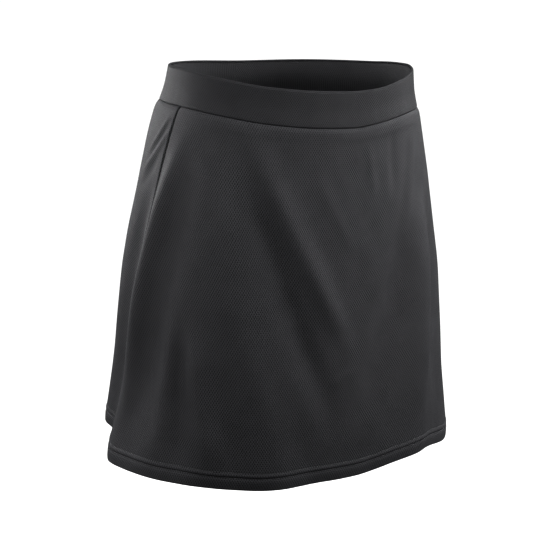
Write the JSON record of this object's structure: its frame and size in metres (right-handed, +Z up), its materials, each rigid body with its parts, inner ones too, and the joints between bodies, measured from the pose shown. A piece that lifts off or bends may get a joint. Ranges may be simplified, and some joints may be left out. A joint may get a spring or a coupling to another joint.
{
  "type": "tennis skort",
  "caption": "Hollow, worn-shape sports skort: elasticated waistband, short flared knit skirt and close knit shorts under it, open at the waist, hem and legs.",
  "frame": {"origin": "middle of the waist opening, half way up the waistband at its mean height, where the wearer's waist holds the skort", "axes": "+Z up along the wearer's body, -Y towards the wearer's front, +X towards the wearer's left"},
  "size_m": [0.395, 0.3004, 0.4104],
  "materials": {
    "waistband_knit": "smooth close knit, folded over elastic, faint sheen",
    "skirt_knit": "fine bird's-eye mesh knit, matt with a soft sheen at grazing angles",
    "shorts_knit": "close smooth stretch knit, matt"
  },
  "bodies": {
    "root": {"waistband": "waistband_knit", "skirt_front": "skirt_knit", "skirt_back": "skirt_knit", "shorts_right": "shorts_knit", "shorts_left": "shorts_knit"}
  },
  "joints": []
}
